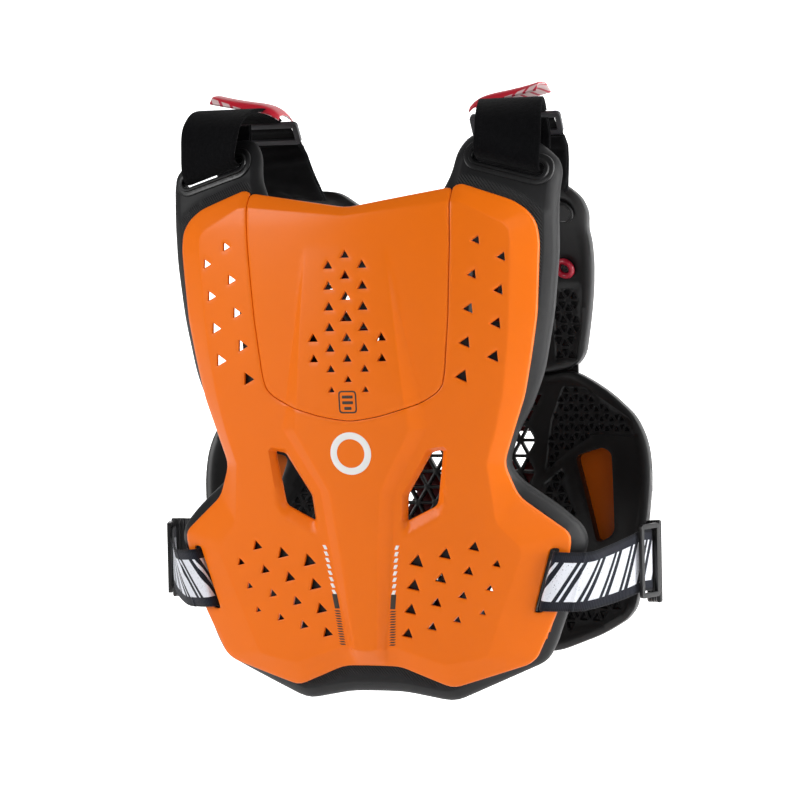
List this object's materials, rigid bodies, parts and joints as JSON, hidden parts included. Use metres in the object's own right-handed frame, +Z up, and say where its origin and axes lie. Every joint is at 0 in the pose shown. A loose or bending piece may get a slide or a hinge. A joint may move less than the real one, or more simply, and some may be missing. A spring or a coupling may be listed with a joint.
{
  "type": "roost deflector",
  "caption": "Motocross chest and back protector: pierced hard chest shell on a foam liner, two-piece back, shoulder and side straps, open torso, neck and arms.",
  "frame": {"origin": "between the shoulders, level with the underside of the shoulder straps where they rest on the wearer", "axes": "+X to the wearer's left, +Y to the wearer's back, +Z up"},
  "size_m": [0.4312, 0.2512, 0.4964],
  "materials": {
    "shell_orange": "satin moulded plastic",
    "liner_black": "matt moulded foam",
    "moulded_black": "satin moulded plastic",
    "moulded_grey": "satin moulded plastic",
    "strap_black": "hook-and-loop webbing",
    "yoke_black": "padded knitted fabric",
    "elastic_navy": "woven elastic with pale bars",
    "tab_red": "flexible tab with a pale underside",
    "grommet_red": "moulded plastic"
  },
  "bodies": {
    "root": {"front_shell": "shell_orange", "chest_plate": "shell_orange", "front_liner": "liner_black", "back_upper_liner": "liner_black", "back_lower_liner": "liner_black", "back_upper_shell": "shell_orange", "back_lower_shell": "shell_orange", "slot_bezel_left": "moulded_black", "slot_bezel_right": "moulded_black", "shoulder_strap_left": "strap_black", "shoulder_strap_right": "strap_black", "strap_end_tab_left": "tab_red", "strap_end_tab_right": "tab_red", "shoulder_slider_left": "moulded_grey", "shoulder_slider_right": "moulded_grey", "shoulder_yoke_left": "yoke_black", "shoulder_yoke_right": "yoke_black", "side_strap_left": "elastic_navy", "side_strap_right": "elastic_navy", "side_buckle_left": "moulded_black", "side_buckle_right": "moulded_black", "buckle_anchor_left": "moulded_black", "buckle_anchor_right": "moulded_black", "back_cap_left": "moulded_black", "back_cap_right": "moulded_black", "back_grommet_left": "grommet_red", "back_grommet_right": "grommet_red"}
  },
  "joints": []
}
